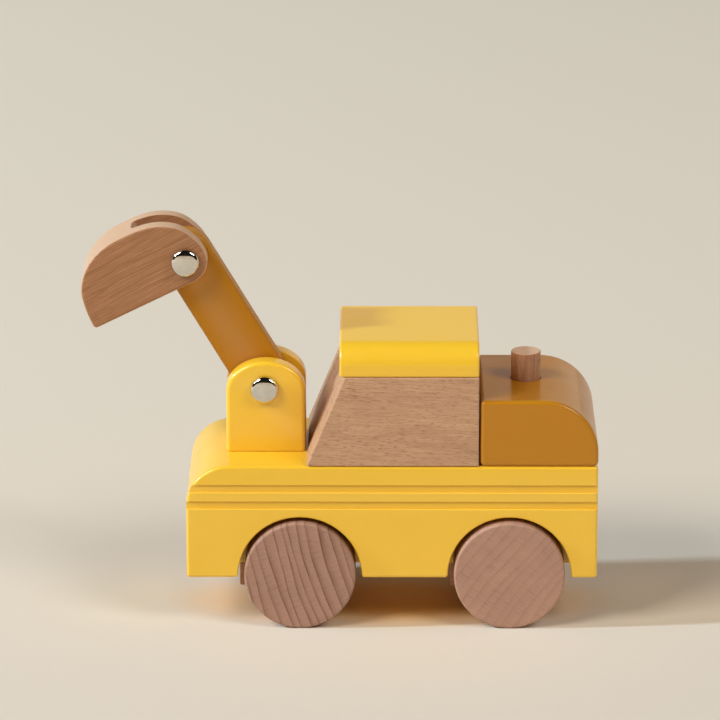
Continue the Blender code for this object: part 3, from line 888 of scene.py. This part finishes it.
make_camera()
make_floor()
make_world()
make_light("key_sun", -83.5, 28, 5.0, (0.26, 0.30), 192, (0.64, 0.82, 1.0))
make_light("soft_left", -52, 41, 4.0, (1.6, 1.4), 92, (1.0, 0.905, 0.81))
make_light("soft_right", 52, 41, 4.0, (1.6, 1.4), 62, (1.0, 0.97, 0.94))
bpy.context.scene.view_settings.view_transform = "Standard"

yellow = paint(
    "yellow_satin_paint",
    colour=(0.95, 0.577, 0.030),
    roughness=0.32,
    coat=0.45,
    coat_roughness=0.18,
    ior=1.5,
)
ochre = paint(
    "ochre_satin_paint",
    colour=(0.53, 0.212, 0.002),
    roughness=0.32,
    coat=0.22,
    coat_roughness=0.09,
    ior=1.42,
)
# The boom's ochre is the engine's paint with painted shade: a darker base colour, and less gloss
boom_ochre_shaded = paint(
    "ochre_paint_shaded_flat",
    colour=(0.49, 0.197, 0.002),
    roughness=0.42,
    coat=0.05,
    coat_roughness=0.15,
    ior=1.33,
)
nickel = steel("nickel_plate", 0.05)
cab_wood = beech(
    "cab_beech",
    tones=((0.635, 0.388, 0.228), (0.31, 0.145, 0.07)),
    grain=(1, 0, -0.05),
    pith=(20, 170, 60),
    rings=3.2,
    ring_depth=0.25,
    flecks=0.75,
    fibres=0.50,
)
peg_wood = beech(
    "peg_beech",
    tones=((0.58, 0.31, 0.175), (0.22, 0.09, 0.04)),
    grain=(0, 0, 1),
    pith=(95, 40, 100),
    rings=2.2,
    ring_depth=0.55,
    flecks=0.6,
    fibres=0.7,
    # Painted light: the peg's top comes out lighter than its side
    painted_light_faces=((0.74, 0.50, 0.34), (0, 0, 1), 0.5, 0.9),
)
grain_lean = math.radians(BUCKET_TILT + 2)
bucket_wood = beech(
    "bucket_beech",
    tones=((0.52, 0.262, 0.125), (0.24, 0.095, 0.035)),
    grain=(math.cos(grain_lean), 0, math.sin(grain_lean)),
    pith=(-20, 150, 300),
    rings=2.3,
    ring_depth=0.6,
    flecks=0.3,
    fibres=0.95,
    # Painted light: the rim, its curved back and straight edge, comes out lighter than the flat sides
    painted_light_faces=((0.72, 0.49, 0.32), (0, 1, 0), 0.9, 0.5),
)
raw_wood = beech(
    "raw_beech",
    tones=((0.50, 0.28, 0.16), (0.28, 0.13, 0.06)),
    grain=(1, 0, 0),
    pith=(0, 60, 90),
    rings=3.0,
    ring_depth=0.4,
    flecks=0.5,
    fibres=0.3,
)
end_tones = ((0.53, 0.312, 0.222), (0.20, 0.085, 0.05))

make_chassis(yellow)
make_cab(cab_wood)
make_roof(yellow)
make_engine(ochre)
make_peg(peg_wood)

joints = {joint["name"]: Vector(joint["pos_m"]) / MM for joint in frame["joints"]}
make_bracket(yellow, joints["boom_swing"])
make_boom(boom_ochre_shaded, joints["boom_swing"])
make_bucket(bucket_wood, joints["bucket_swing"])
make_rivet("body", "boom_pin", nickel)
make_rivet("bucket", "bucket_pin", nickel)

# Each wheel is cut from its own board, so its rings run its own way: the pith's bearing and distance, the
# rings' spacing, how strongly they show, a seed, and how pale the board is
WHEEL_CUTS = {
    "front_left": (17, 270, 3.7, 1.15, 1.0, 0.93),
    "front_right": (200, 140, 3.3, 0.45, 2.0, 1.0),
    "rear_left": (-38, 240, 3.8, 0.34, 3.0, 1.02),
    "rear_right": (75, 120, 3.0, 0.5, 4.0, 0.97),
}
for wheel, (bearing, distance, spacing, depth, seed, shade) in WHEEL_CUTS.items():
    end, side = wheel.split("_")
    low, high = span(f"{wheel}_wheel")
    middle = (low + high) / 2
    angle = math.radians(bearing)
    pith = (middle.x + math.cos(angle) * distance, 0, middle.z + math.sin(angle) * distance)
    tones = [[level * shade for level in tone] for tone in end_tones]
    wood = beech(
        f"{wheel}_wheel_beech",
        tones,
        grain=(0, 1, 0),
        pith=pith,
        rings=spacing,
        ring_depth=depth,
        flecks=0.35,
        fibres=0.35,
        seed=seed,
    )
    make_wheel(end, side, wood)
for end in ("front", "rear"):
    make_axle(end, raw_wood)
    make_axle_block(end, raw_wood, nickel)

# The dowels inside the glued joints stay as the CAD made them, in raw wood
for node in frame["nodes"].values():
    if not node.hide_render:
        node.data.materials.clear()
        node.data.materials.append(raw_wood)
